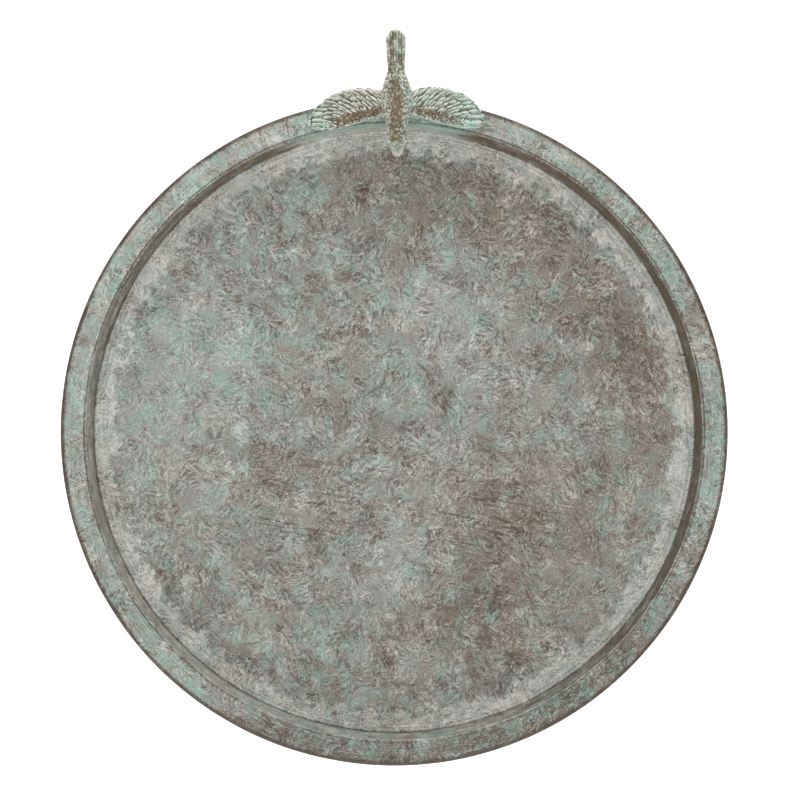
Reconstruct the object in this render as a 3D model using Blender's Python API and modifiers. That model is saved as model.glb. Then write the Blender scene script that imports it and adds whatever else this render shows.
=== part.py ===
"""Round garden bird bath bowl with a cast bird on its rim, standing on three screw-in levelling feet.

Units are metres, +Z is up. The origin is the centre of the flat seat under the bowl, where a
pedestal would be bolted. The bird stands on the rim at +Y, facing the middle of the bowl.
"""

import math

import bmesh
import bpy
from mathutils import Matrix, Vector

MM = 0.001

# Fits
GAP = 0.3 * MM  # kept between touching pieces, and round a piece in its hole
ROUND_STEPS = 72  # facets round the bowl
SMALL_STEPS = 24  # facets round a fastener

# Bowl
RIM_RADIUS = 254 * MM  # 20 inches across
RIM_TOP = 48 * MM
RIM_THICKNESS = 6.5 * MM
RIM_UNDERSIDE = RIM_TOP - RIM_THICKNESS
WALL_TOP_RADIUS = 234 * MM  # inner edge of the flat rim band
WALL_FOOT_RADIUS = 231.3 * MM
WALL_THICKNESS = 4.2 * MM
POOL_RADIUS = 226.6 * MM  # where the dished floor meets the ledge at the foot of the wall
POOL_EDGE_Z = 22 * MM
POOL_CENTRE_Z = 14 * MM
FLOOR_THICKNESS = 5 * MM
HUB_RADIUS = 46 * MM

# Bores for a pedestal's screws
PEDESTAL_CIRCLE = 30 * MM  # radius of the circle that the three bushes stand on
PEDESTAL_BUSH_RADIUS = 4.5 * MM
PEDESTAL_THREAD_RADIUS = 3 * MM
PEDESTAL_BUSH_LENGTH = 9.5 * MM

# Levelling feet
FOOT_CIRCLE = 150 * MM
FOOT_ANGLES = (90, 210, 330)
BOSS_RADIUS = 12 * MM
FOOT_BUSH_RADIUS = 6 * MM
FOOT_BUSH_LENGTH = 11 * MM
FOOT_BORE_DEPTH = 12 * MM
STEM_RADIUS = 4 * MM
STEM_TOP = 8 * MM
WHEEL_RADIUS = 13 * MM
WHEEL_TOP = -8 * MM
WHEEL_BOTTOM = -13 * MM
SPIGOT_RADIUS = 3 * MM
SPIGOT_BOTTOM = -17.4 * MM
PAD_RADIUS = 14 * MM
PAD_BOTTOM = -21 * MM
LOCKNUT_ACROSS_CORNERS = 15 * MM
LOCKNUT_HEIGHT = 4 * MM

# Bird, in its own frame: origin on the rim between its legs, +Y towards its tail
BIRD_RADIUS = 246 * MM  # how far out on the rim it stands
BIRD_TURN = math.radians(1.2)
LEG_X = 6.5 * MM
LEG_BOTTOM = 1.6 * MM
LEG_TOP = 17 * MM
LEG_BOTTOM_RADIUS = 2.75 * MM
LEG_TOP_RADIUS = 4.2 * MM
STUD_RADIUS = 1.5 * MM
STUD_TOP = 9.8 * MM
STUD_BOTTOM = -11.4 * MM
GASKET_RADIUS = 4.5 * MM
GASKET_HEIGHT = 1 * MM
WASHER_RADIUS = 4 * MM
WASHER_HEIGHT = 1 * MM
CAP_NUT_ACROSS_CORNERS = 6.9 * MM
CAP_NUT_HEX_HEIGHT = 3 * MM
CAP_NUT_DOME_RADIUS = 2.7 * MM
WING_PIN_RADIUS = 1.5 * MM
WING_PIN_Y = 3 * MM
WING_PIN_Z = 21.4 * MM
WING_PIN_INNER_X = 7 * MM
WING_PIN_OUTER_X = 17 * MM

# The bird's body from beak to tail: along Y, height, half width and half height, all in mm
BODY_SECTIONS = (
    (-37.5, 9.6, 0.5, 0.5),
    (-34.3, 11.6, 2.6, 2.3),
    (-30.8, 14.4, 5.6, 4.9),
    (-25.7, 17.4, 7.2, 7.2),
    (-19.9, 19.4, 7.9, 8.0),
    (-13.5, 20.4, 8.5, 8.5),
    (-8.0, 21.0, 9.8, 9.6),
    (-2.0, 21.8, 11.2, 10.6),
    (4.6, 23.0, 11.9, 10.8),
    (11.1, 25.0, 11.3, 9.6),
    (16.8, 27.0, 9.6, 7.4),
    (21.8, 29.0, 7.8, 5.2),
    (26.5, 30.8, 6.6, 3.4),
    (31.1, 32.5, 6.5, 2.2),
    (38.1, 35.3, 7.6, 1.8),
    (45.2, 38.1, 8.0, 1.6),
    (50.7, 40.2, 6.9, 1.4),
    (53.8, 41.4, 4.2, 1.1),
    (55.1, 42.0, 1.4, 0.8),
)
BODY_RING = 20

# The right wing from root to tip: leading edge, trailing edge and half thickness, all in mm
WING_SECTIONS = (
    ((12.5, -7.0, 17.0), (12.5, 10.3, 24.2), 3.0),
    ((18.4, -8.6, 14.8), (18.4, 11.8, 24.0), 2.8),
    ((24.2, -10.4, 12.2), (24.6, 12.8, 23.2), 2.4),
    ((35.6, -13.4, 7.6), (33.6, 13.4, 20.9), 2.1),
    ((47.1, -16.2, 4.4), (42.9, 11.6, 17.2), 1.8),
    ((54.0, -16.8, 3.4), (51.0, 8.6, 13.6), 1.6),
    ((60.4, -16.9, 3.0), (58.0, 4.6, 10.2), 1.5),
    ((65.4, -15.2, 2.9), (64.4, -2.4, 6.6), 1.4),
    ((68.0, -12.2, 2.9), (68.2, -8.6, 3.9), 1.2),
)
WING_RING = 12
WING_CAMBER = 0.07  # rise of the wing's middle over its chord, as a share of the chord


def fresh_collection(name, hidden=False):
    collection = bpy.data.collections.new(name)
    collection.hide_render = hidden
    bpy.context.scene.collection.children.link(collection)
    return collection


def material(name, colour, roughness, metallic):
    """A plain Principled material, with its colour in linear values."""
    made = bpy.data.materials.new(name)
    made.use_nodes = True
    shader = made.node_tree.nodes["Principled BSDF"]
    shader.inputs["Base Color"].default_value = (*colour, 1)
    shader.inputs["Roughness"].default_value = roughness
    shader.inputs["Metallic"].default_value = metallic
    made.diffuse_color = (*colour, 1)
    return made


def object_from(bm, name, collection, finish=None, parent=None):
    """Links a bmesh as a named object, smooth but for its sharp edges."""
    mesh = bpy.data.meshes.new(name)
    bm.to_mesh(mesh)
    bm.free()
    mesh.shade_smooth()
    mesh.set_sharp_from_angle(angle=math.radians(35))
    made = bpy.data.objects.new(name, mesh)
    collection.objects.link(made)
    if finish:
        mesh.materials.append(finish)
    if parent:
        made.parent = parent
    return made


def add_cone(bm, x, y, bottom, top, bottom_radius, top_radius=None, steps=SMALL_STEPS):
    """An upright cylinder or cone between two heights."""
    if top_radius is None:
        top_radius = bottom_radius
    bmesh.ops.create_cone(
        bm,
        cap_ends=True,
        segments=steps,
        radius1=bottom_radius,
        radius2=top_radius,
        depth=top - bottom,
        matrix=Matrix.Translation((x, y, (bottom + top) / 2)),
    )


def boolean(target, other, operation):
    """Adds a Boolean modifier, and makes the other object a hidden helper."""
    step = target.modifiers.new(f"{operation.lower()} {other.name}", "BOOLEAN")
    step.operation = operation
    step.object = other
    other.hide_render = True
    other.display_type = "WIRE"


def helper_cone(name, parent=None, **sizes):
    bm = bmesh.new()
    add_cone(bm, **sizes)
    return object_from(bm, name, HELPERS, parent=parent)


def lathe(name, profile, collection, finish, parent=None, steps=SMALL_STEPS, closed=False):
    """Turns a profile of (radius, height) points about Z. It runs down its outer side."""
    bm = bmesh.new()
    points = [bm.verts.new((radius, 0, height)) for radius, height in profile]
    pairs = list(zip(points, points[1:]))
    if closed:
        pairs.append((points[-1], points[0]))
    for pair in pairs:
        bm.edges.new(pair)
    made = object_from(bm, name, collection, finish, parent)
    turn = made.modifiers.new("turn", "SCREW")
    turn.steps = steps
    turn.render_steps = steps
    turn.use_merge_vertices = True
    turn.merge_threshold = 0.00001
    return made


def sleeve(name, outer, bore, bottom, top, finish, parent=None):
    """A plain turned ring, such as a washer or a bush."""
    profile = ((outer, top), (outer, bottom), (bore, bottom), (bore, top))
    return lathe(name, profile, PARTS, finish, parent, closed=True)


def loft(name, rings, collection, finish, parent=None):
    """Joins closed rings of points, all with the same count, and caps both ends."""
    bm = bmesh.new()
    rows = [[bm.verts.new(point) for point in ring] for ring in rings]
    count = len(rows[0])
    for row, following in zip(rows, rows[1:]):
        for i in range(count):
            j = (i + 1) % count
            bm.faces.new((row[i], row[j], following[j], following[i]))
    bm.faces.new(rows[0])
    bm.faces.new(rows[-1])
    bmesh.ops.recalc_face_normals(bm, faces=bm.faces)
    return object_from(bm, name, collection, finish, parent)


def empty(name, place, turn=0.0):
    made = bpy.data.objects.new(name, None)
    PARTS.objects.link(made)
    made.location = place
    made.rotation_euler.z = turn
    return made


def arc(centre, radius, start, end, count):
    """Points on an arc, angles in degrees from the radius direction towards +Z."""
    angles = [math.radians(start + (end - start) * i / (count - 1)) for i in range(count)]
    return [(centre[0] + radius * math.cos(a), centre[1] + radius * math.sin(a)) for a in angles]


def pool_height(radius):
    """Height of the dished floor's upper face."""
    return POOL_CENTRE_Z + (POOL_EDGE_Z - POOL_CENTRE_Z) * (radius / POOL_RADIUS) ** 2


def bowl_profile():
    """The bowl's section, from the middle of its floor, out over the rim and back underneath."""
    floor = [(share * POOL_RADIUS, pool_height(share * POOL_RADIUS))
             for share in (0, 0.2, 0.4, 0.58, 0.74, 0.88, 1)]
    ledge_z = POOL_EDGE_Z + 1 * MM
    ledge = [(POOL_RADIUS + 0.8 * MM, ledge_z), (WALL_FOOT_RADIUS - 1.4 * MM, ledge_z)]
    wall = [(WALL_FOOT_RADIUS, ledge_z + 1.6 * MM), (WALL_TOP_RADIUS, RIM_TOP - 0.8 * MM)]
    bead_radius = 1.2 * MM
    bead = arc((WALL_TOP_RADIUS + bead_radius, RIM_TOP - 0.6 * MM), bead_radius, 160, 20, 4)
    groove_r = WALL_TOP_RADIUS + 3.2 * MM
    groove = [(groove_r, RIM_TOP - 0.7 * MM), (groove_r + 0.9 * MM, RIM_TOP)]
    edge_radius = RIM_THICKNESS / 2
    edge_centre = (RIM_RADIUS - edge_radius, RIM_TOP - edge_radius)
    edge = arc(edge_centre, edge_radius, 90, -90, 8)
    outer_top = WALL_TOP_RADIUS + WALL_THICKNESS
    outer_foot = WALL_FOOT_RADIUS + WALL_THICKNESS
    under_rim = [(outer_top + 2.4 * MM, RIM_UNDERSIDE), (outer_top, RIM_UNDERSIDE - 2.4 * MM)]
    knuckle = arc((outer_foot - 6 * MM, POOL_EDGE_Z + 0.8 * MM), 6 * MM, 0, -80, 4)
    under_floor = [(share * POOL_RADIUS, pool_height(share * POOL_RADIUS) - FLOOR_THICKNESS)
                   for share in (0.96, 0.84, 0.7, 0.54, 0.38)]
    hub_top = (HUB_RADIUS + 1.5 * MM, pool_height(HUB_RADIUS) - FLOOR_THICKNESS)
    hub = [hub_top, (HUB_RADIUS, 1 * MM), (HUB_RADIUS - 1 * MM, 0), (0, 0)]
    return floor + ledge + wall + bead + groove + edge + under_rim + knuckle + under_floor + hub


def on_circle(radius, degrees):
    angle = math.radians(degrees)
    return radius * math.cos(angle), radius * math.sin(angle)


def make_bowl():
    """The turned bowl, with its foot bosses and ribs joined on and its bores cut."""
    bowl = lathe("basin", bowl_profile(), PARTS, BRONZE, steps=ROUND_STEPS)
    for number, angle in enumerate(FOOT_ANGLES, 1):
        x, y = on_circle(FOOT_CIRCLE, angle)
        boss_top = pool_height(FOOT_CIRCLE) - FLOOR_THICKNESS / 2
        boss = helper_cone(f"boss_{number}", x=x, y=y, bottom=0, top=boss_top,
                           bottom_radius=BOSS_RADIUS)
        boolean(bowl, boss, "UNION")
        boolean(bowl, rib(number, angle), "UNION")
        bore = helper_cone(f"foot_bore_{number}", x=x, y=y, bottom=-5 * MM, top=FOOT_BORE_DEPTH,
                           bottom_radius=FOOT_BUSH_RADIUS + GAP)
        boolean(bowl, bore, "DIFFERENCE")
        x, y = on_circle(PEDESTAL_CIRCLE, angle + 60)
        bore = helper_cone(f"pedestal_bore_{number}", x=x, y=y, bottom=-5 * MM,
                           top=PEDESTAL_BUSH_LENGTH + 2 * GAP,
                           bottom_radius=PEDESTAL_BUSH_RADIUS + GAP)
        boolean(bowl, bore, "DIFFERENCE")
    return bowl


def rib(number, angle):
    """A flat rib under the floor, from the hub to a foot boss."""
    start, end = HUB_RADIUS - 4 * MM, FOOT_CIRCLE - BOSS_RADIUS / 2
    bottom, top = 3 * MM, 13.3 * MM
    width = 6 * MM
    bm = bmesh.new()
    bmesh.ops.create_cube(bm, size=1)
    bmesh.ops.scale(bm, vec=(end - start, width, top - bottom), verts=bm.verts)
    bmesh.ops.translate(bm, vec=((start + end) / 2, 0, (top + bottom) / 2), verts=bm.verts)
    bmesh.ops.rotate(bm, matrix=Matrix.Rotation(math.radians(angle), 3, "Z"), verts=bm.verts)
    return object_from(bm, f"rib_{number}", HELPERS)


def make_pedestal_bushes():
    for number, angle in enumerate(FOOT_ANGLES, 1):
        x, y = on_circle(PEDESTAL_CIRCLE, angle + 60)
        bush = sleeve(f"pedestal_bush_{number}", PEDESTAL_BUSH_RADIUS, PEDESTAL_THREAD_RADIUS,
                      0.2 * MM, PEDESTAL_BUSH_LENGTH, BRASS)
        bush.location = (x, y, 0)


def hexagon(name, across_corners, bottom, top, bore_radius, bore_top, finish, parent):
    """A six-sided nut, bored from below its lower face or, for a blind bore, from its top."""
    bm = bmesh.new()
    add_cone(bm, 0, 0, bottom, top, across_corners / 2, steps=6)
    nut = object_from(bm, name, PARTS, finish, parent)
    nut.data.shade_flat()
    bore = helper_cone(f"{name}_bore", parent, x=0, y=0, bottom=bore_top, top=top + 1 * MM,
                       bottom_radius=bore_radius)
    boolean(nut, bore, "DIFFERENCE")
    return nut, bore


def make_foot(number, angle):
    """One levelling foot: threaded bush, lock nut, stem with its hand wheel, and rubber pad."""
    place = empty(f"foot_{number}", (*on_circle(FOOT_CIRCLE, angle), 0))
    stem_bore = STEM_RADIUS + GAP
    sleeve(f"foot_bush_{number}", FOOT_BUSH_RADIUS, stem_bore, GAP, GAP + FOOT_BUSH_LENGTH,
           BRASS, place)
    nut_top = -GAP
    nut_bottom = nut_top - LOCKNUT_HEIGHT
    hexagon(f"foot_locknut_{number}", LOCKNUT_ACROSS_CORNERS, nut_bottom, nut_top, stem_bore,
            nut_bottom - 1 * MM, STEEL, place)
    chamfer = 0.8 * MM
    stem = [
        (0, STEM_TOP),
        (STEM_RADIUS - chamfer, STEM_TOP),
        (STEM_RADIUS, STEM_TOP - chamfer),
        (STEM_RADIUS, WHEEL_TOP),
        (WHEEL_RADIUS - chamfer, WHEEL_TOP),
        (WHEEL_RADIUS, WHEEL_TOP - chamfer),
        (WHEEL_RADIUS, WHEEL_BOTTOM + chamfer),
        (WHEEL_RADIUS - chamfer, WHEEL_BOTTOM),
        (SPIGOT_RADIUS, WHEEL_BOTTOM),
        (SPIGOT_RADIUS, SPIGOT_BOTTOM + chamfer),
        (SPIGOT_RADIUS - chamfer, SPIGOT_BOTTOM),
        (0, SPIGOT_BOTTOM),
    ]
    lathe(f"foot_stem_{number}", stem, PARTS, STEEL, place)
    pad_top = WHEEL_BOTTOM - GAP
    socket_radius = SPIGOT_RADIUS + GAP
    socket_bottom = SPIGOT_BOTTOM - GAP
    pad = [
        (0, socket_bottom),
        (socket_radius, socket_bottom),
        (socket_radius, pad_top),
        (PAD_RADIUS - 2 * MM, pad_top),
        (PAD_RADIUS - 0.8 * MM, pad_top - 1 * MM),
        (PAD_RADIUS, PAD_BOTTOM + 1 * MM),
        (PAD_RADIUS - 1 * MM, PAD_BOTTOM),
        (0, PAD_BOTTOM),
    ]
    lathe(f"foot_pad_{number}", pad, PARTS, RUBBER, place)


def body_rings():
    rings = []
    for y, z, half_width, half_height in BODY_SECTIONS:
        ring = []
        for i in range(BODY_RING):
            angle = 2 * math.pi * i / BODY_RING
            ring.append(Vector((half_width * math.cos(angle), y,
                                z + half_height * math.sin(angle))) * MM)
        rings.append(ring)
    return rings


def make_bird_body(stand):
    """The body casting: head, tail and both legs in one, with holes for the studs and pins."""
    body = loft("bird_body", body_rings(), PARTS, BRONZE, stand)
    for side, sign in (("left", -1), ("right", 1)):
        leg = helper_cone(f"leg_{side}", stand, x=sign * LEG_X, y=0, bottom=LEG_BOTTOM,
                          top=LEG_TOP, bottom_radius=LEG_BOTTOM_RADIUS,
                          top_radius=LEG_TOP_RADIUS)
        boolean(body, leg, "UNION")
    for side, sign in (("left", -1), ("right", 1)):
        hole = helper_cone(f"stud_hole_{side}", stand, x=sign * LEG_X, y=0, bottom=-1 * MM,
                           top=STUD_TOP + GAP, bottom_radius=STUD_RADIUS + GAP)
        boolean(body, hole, "DIFFERENCE")
        boolean(body, pin_hole(side, sign, stand), "DIFFERENCE")


def add_pin(bm, sign, radius, clearance=0.0):
    """A round bar along X at the wing's root, on one side of the bird."""
    inner, outer = WING_PIN_INNER_X - clearance, WING_PIN_OUTER_X + clearance
    place = Matrix.Translation((sign * (inner + outer) / 2, WING_PIN_Y, WING_PIN_Z))
    bmesh.ops.create_cone(
        bm,
        cap_ends=True,
        segments=SMALL_STEPS,
        radius1=radius,
        radius2=radius,
        depth=outer - inner,
        matrix=place @ Matrix.Rotation(math.radians(90), 4, "Y"),
    )


def pin_hole(side, sign, stand):
    name = f"pin_hole_{side}"
    if name in bpy.data.objects:
        return bpy.data.objects[name]
    bm = bmesh.new()
    add_pin(bm, sign, WING_PIN_RADIUS + GAP, GAP)
    return object_from(bm, name, HELPERS, parent=stand)


def wing_ring(leading, trailing, half_thickness, sign):
    """One closed section of a wing: thick behind its leading edge and thin at its trailing edge."""
    leading, trailing = Vector(leading), Vector(trailing)
    chord = trailing - leading
    ring = []
    for i in range(WING_RING):
        angle = 2 * math.pi * i / WING_RING
        share = (1 - math.cos(angle)) / 2
        rise = WING_CAMBER * chord.length * math.sin(math.pi * share)
        half = half_thickness * math.sin(angle) * (1 - 0.45 * share)
        point = leading + chord * share + Vector((0, 0, rise + half))
        ring.append(Vector((sign * point.x, point.y, point.z)) * MM)
    return ring


def make_wing(side, sign, stand):
    rings = [wing_ring(*section, sign) for section in WING_SECTIONS]
    wing = loft(f"wing_{side}", rings, PARTS, BRONZE, stand)
    boolean(wing, pin_hole(side, sign, stand), "DIFFERENCE")
    bm = bmesh.new()
    add_pin(bm, sign, WING_PIN_RADIUS)
    object_from(bm, f"wing_pin_{side}", PARTS, STEEL, stand)


def make_bird_fixing(side, sign, stand, bowl):
    """Under each leg: a rubber gasket on the rim, and a stud, washer and cap nut below it."""
    place = empty(f"fixing_{side}", (sign * LEG_X, 0, 0))
    place.parent = stand
    bore = STUD_RADIUS + GAP
    hole = helper_cone(f"rim_hole_{side}", place, x=0, y=0, bottom=-RIM_THICKNESS - 4 * MM,
                       top=4 * MM, bottom_radius=bore)
    boolean(bowl, hole, "DIFFERENCE")
    sleeve(f"bird_gasket_{side}", GASKET_RADIUS, bore, GAP, GAP + GASKET_HEIGHT, RUBBER, place)
    bm = bmesh.new()
    add_cone(bm, 0, 0, STUD_BOTTOM, STUD_TOP, STUD_RADIUS)
    object_from(bm, f"bird_stud_{side}", PARTS, STEEL, place)
    washer_top = -RIM_THICKNESS - GAP
    washer_bottom = washer_top - WASHER_HEIGHT
    sleeve(f"bird_washer_{side}", WASHER_RADIUS, bore, washer_bottom, washer_top, STEEL, place)
    nut_top = washer_bottom - GAP
    nut_bottom = nut_top - CAP_NUT_HEX_HEIGHT
    nut, nut_bore = hexagon(f"bird_cap_nut_{side}", CAP_NUT_ACROSS_CORNERS, nut_bottom, nut_top,
                            bore, STUD_BOTTOM - GAP, BRASS, place)
    bm = bmesh.new()
    bmesh.ops.create_uvsphere(bm, u_segments=SMALL_STEPS, v_segments=12,
                              radius=CAP_NUT_DOME_RADIUS,
                              matrix=Matrix.Translation((0, 0, nut_bottom)))
    dome = object_from(bm, f"cap_nut_dome_{side}", HELPERS, parent=place)
    nut.modifiers.clear()
    boolean(nut, dome, "UNION")
    boolean(nut, nut_bore, "DIFFERENCE")


def make_bird(bowl):
    stand = empty("bird", (0, BIRD_RADIUS, RIM_TOP), BIRD_TURN)
    make_bird_body(stand)
    for side, sign in (("left", -1), ("right", 1)):
        make_wing(side, sign, stand)
        make_bird_fixing(side, sign, stand, bowl)


for leftover in list(bpy.data.objects):
    bpy.data.objects.remove(leftover)
PARTS = fresh_collection("bird bath bowl")
HELPERS = fresh_collection("helpers", hidden=True)
BRONZE = material("patinated bronze", (0.29, 0.30, 0.26), 0.75, 0.1)
BRASS = material("brass", (0.55, 0.38, 0.15), 0.4, 1.0)
STEEL = material("stainless steel", (0.52, 0.52, 0.50), 0.35, 1.0)
RUBBER = material("black rubber", (0.02, 0.02, 0.02), 0.85, 0.0)

basin = make_bowl()
make_pedestal_bushes()
for foot_number, foot_angle in enumerate(FOOT_ANGLES, 1):
    make_foot(foot_number, foot_angle)
make_bird(basin)
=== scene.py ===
"""Looks of a cast bird bath bowl: patina, feathers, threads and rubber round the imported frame.

Sizes are in mm until they become a mesh, which is in metres as the frame is, and +Z is up.
The bird stands on the rim at +Y and faces the middle of the bowl.
"""

import math
import random

import bmesh
import bpy
import numpy as np
from mathutils import Matrix, Vector, noise
from mathutils.bvhtree import BVHTree


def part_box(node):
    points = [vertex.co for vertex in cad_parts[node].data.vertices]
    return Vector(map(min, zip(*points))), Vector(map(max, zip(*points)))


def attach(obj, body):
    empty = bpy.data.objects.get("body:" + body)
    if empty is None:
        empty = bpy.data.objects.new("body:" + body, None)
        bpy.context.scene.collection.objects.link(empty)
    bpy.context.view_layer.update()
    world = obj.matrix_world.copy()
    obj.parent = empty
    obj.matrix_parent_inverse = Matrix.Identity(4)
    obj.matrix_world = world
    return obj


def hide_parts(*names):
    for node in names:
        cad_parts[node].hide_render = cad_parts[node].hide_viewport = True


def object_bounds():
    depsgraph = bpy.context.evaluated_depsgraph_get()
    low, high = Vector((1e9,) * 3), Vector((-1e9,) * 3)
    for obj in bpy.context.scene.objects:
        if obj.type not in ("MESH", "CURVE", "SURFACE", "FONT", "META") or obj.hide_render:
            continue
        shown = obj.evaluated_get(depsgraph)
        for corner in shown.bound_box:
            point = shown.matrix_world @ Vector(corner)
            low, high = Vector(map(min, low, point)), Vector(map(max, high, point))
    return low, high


MM = 0.001
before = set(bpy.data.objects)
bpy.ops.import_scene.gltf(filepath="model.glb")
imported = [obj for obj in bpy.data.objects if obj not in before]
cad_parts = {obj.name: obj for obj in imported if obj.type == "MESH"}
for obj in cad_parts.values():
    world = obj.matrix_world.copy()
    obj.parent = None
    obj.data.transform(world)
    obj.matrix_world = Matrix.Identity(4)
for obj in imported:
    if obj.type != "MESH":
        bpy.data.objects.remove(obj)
CAD_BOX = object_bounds()
SIDES = (("left", -1), ("right", 1))
FEET = (1, 2, 3)

# Bowl
RIM_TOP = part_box("basin")[1].z / MM
RIM_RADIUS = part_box("basin")[1].x / MM
RIM_THICKNESS = 6.5
RIM_INNER_RADIUS = 234
WALL_FOOT_RADIUS = 231.3
WALL_THICKNESS = 4.2
POOL_RADIUS = 226.6
POOL_EDGE_Z = 22
POOL_CENTRE_Z = 14
FLOOR_THICKNESS = 5
HUB_RADIUS = 46
BOSS_RADIUS = 12
FOOT_CIRCLE_RADIUS = 150
TURN_STEPS = 432
AXIS = 0.02  # how near its axis a turned section starts and ends

# Bores, and the pitches of the threads
FOOT_BORE, FOOT_PITCH = 4.3, 1.25
STUD_BORE, STUD_PITCH = 1.8, 0.5
STUD_RADIUS = 1.48
PEDESTAL_BORE = 3

# The holes in the casting that take the bushes
FOOT_SOCKET = 6.2
PEDESTAL_SOCKET = 4.7

# The hand wheel's faces
WHEEL_TOP, WHEEL_BOTTOM = -8, -13

# The bird's body from beak to tail: along Y, height, half width and half height
BODY_SECTIONS = (
    (-31.6, 14.2, 3.2, 3.0),
    (-30.2, 14.9, 5.2, 5.0),
    (-28.4, 16.0, 6.5, 6.4),
    (-25.7, 17.4, 7.3, 7.4),
    (-22.8, 18.6, 7.6, 7.9),
    (-19.9, 19.4, 7.6, 7.9),
    (-16.6, 20.0, 7.7, 8.0),
    (-13.5, 20.4, 8.4, 8.6),
    (-8.0, 21.0, 10.0, 9.8),
    (-2.0, 21.8, 11.3, 10.6),
    (4.6, 23.0, 11.7, 10.6),
    (11.1, 25.0, 11.1, 9.0),
    (16.8, 27.0, 9.4, 6.8),
    (21.8, 29.0, 7.6, 4.6),
    (26.5, 30.8, 6.3, 2.9),
    (31.1, 32.5, 5.9, 1.7),
    (38.1, 35.3, 5.9, 1.2),
    (45.2, 38.1, 6.1, 1.0),
    (49.6, 39.9, 4.4, 0.7),
)

# The right wing from root to tip: X, Y, Z of its leading and trailing edge, half thickness
WING_SECTIONS = (
    (9.6, -6.2, 17.8, 9.6, 9.4, 23.6, 2.6),
    (12.5, -7.2, 16.9, 12.5, 10.0, 24.0, 2.5),
    (18.4, -8.8, 14.6, 18.4, 11.4, 23.9, 2.3),
    (24.2, -10.6, 12.0, 24.6, 12.2, 23.0, 2.1),
    (35.6, -13.6, 7.4, 33.6, 12.4, 20.6, 1.8),
    (47.1, -16.0, 4.2, 42.9, 10.4, 16.8, 1.5),
    (54.0, -16.6, 3.2, 51.0, 7.4, 13.2, 1.3),
    (60.0, -16.4, 2.8, 57.2, 3.6, 10.0, 1.1),
    (64.0, -15.0, 2.6, 62.6, -2.6, 6.6, 0.9),
    (66.0, -12.6, 2.6, 65.6, -8.6, 4.0, 0.7),
)
WING_CAMBER = 0.07
ACROSS = [j / 4 - 1 for j in range(9)]  # places across a feather, from edge to edge
VOXEL = 0.34  # how finely the bird's castings are fused
LEG_X = 6.5


# -------- meshes


def add_object(name, data):
    made = bpy.data.objects.new(name, data)
    bpy.context.scene.collection.objects.link(made)
    return made


def mesh_object(name, points, faces, unit=MM):
    """An object of points that are in mm or, with another unit, in so many metres."""
    mesh = bpy.data.meshes.new(name)
    mesh.from_pydata([[c * unit for c in p] for p in points], [], [tuple(f) for f in faces])
    mesh.validate()
    mesh.shade_smooth()
    return add_object(name, mesh)


def modify(piece, kind, **settings):
    """Adds a modifier to a piece."""
    step = piece.modifiers.new(kind, kind)
    for key, value in settings.items():
        setattr(step, key, value)


def apply_modifiers(piece):
    """Replaces a piece's mesh with what its modifiers make of it."""
    graph = bpy.context.evaluated_depsgraph_get()
    graph.update()
    made = bpy.data.meshes.new_from_object(piece.evaluated_get(graph))
    old = piece.data
    piece.modifiers.clear()
    piece.data = made
    bpy.data.meshes.remove(old)


def point_outward(piece, weld=None):
    """Turns a piece's faces outward, after joining points nearer than weld, in metres."""
    bm = bmesh.new()
    bm.from_mesh(piece.data)
    if weld:
        bmesh.ops.remove_doubles(bm, verts=bm.verts, dist=weld)
    bmesh.ops.recalc_face_normals(bm, faces=bm.faces)
    bm.to_mesh(piece.data)
    bm.free()


def shade(piece, degrees):
    """Smooth all over, but for the edges that are sharper than an angle."""
    piece.data.shade_smooth()
    piece.data.set_sharp_from_angle(angle=math.radians(degrees))


def turns(count):
    """Evenly spaced angles, once round."""
    return [2 * math.pi * i / count for i in range(count)]


def tube_mesh(rings):
    """Points and faces of a loft through closed rings, capped at both ends."""
    columns = len(rings[0])
    last = (len(rings) - 1) * columns
    faces = []
    for start in range(0, last, columns):
        for i in range(columns):
            a, b = start + i, start + (i + 1) % columns
            faces.append((a, b, b + columns, a + columns))
    faces += [tuple(reversed(range(columns))), tuple(range(last, last + columns))]
    return [p for ring in rings for p in ring], faces


def loft(count, ring_at):
    """A capped loft through rings at even shares from 0 to 1."""
    return tube_mesh([ring_at(i / count) for i in range(count + 1)])


def joined(name, shapes, unit=MM):
    """One object of several shapes of (points, faces)."""
    points, faces = [], []
    for more_points, more_faces in shapes:
        faces += [tuple(v + len(points) for v in face) for face in more_faces]
        points += list(more_points)
    made = mesh_object(name, points, faces, unit)
    point_outward(made)
    return made


def lathe(name, profile, x=0, y=0, steps=96, ripple=None):
    """A turned solid from (radius, height) points. Ripple changes a radius with its angle."""
    angles, rings = turns(steps), []
    for radius, height in profile:
        radii = [ripple(radius, height, a) if ripple else radius for a in angles]
        rings.append([(x + r * math.cos(a), y + r * math.sin(a), height)
                      for r, a in zip(radii, angles)])
    points, faces = tube_mesh(rings)
    if profile[0] == profile[-1]:
        points = points[:-steps]
        faces = [tuple(v % len(points) for v in face) for face in faces[:-2]]
    made = mesh_object(name, points, faces)
    point_outward(made, 1e-6)
    shade(made, 38)
    return made


def along(points, step):
    """Points of a broken line at about one step apart."""
    line = [points[0]]
    for a, b in zip(points, points[1:]):
        count = max(1, round(math.dist(a, b) / step))
        line += [(a[0] + (b[0] - a[0]) * i / count, a[1] + (b[1] - a[1]) * i / count)
                 for i in range(1, count + 1)]
    return line


def arc(centre, radius, start, end, count):
    """Points on an arc, angles in degrees from the radius direction towards +Z."""
    angles = [math.radians(start + (end - start) * i / (count - 1)) for i in range(count)]
    return [(centre[0] + radius * math.cos(a), centre[1] + radius * math.sin(a)) for a in angles]


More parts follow.
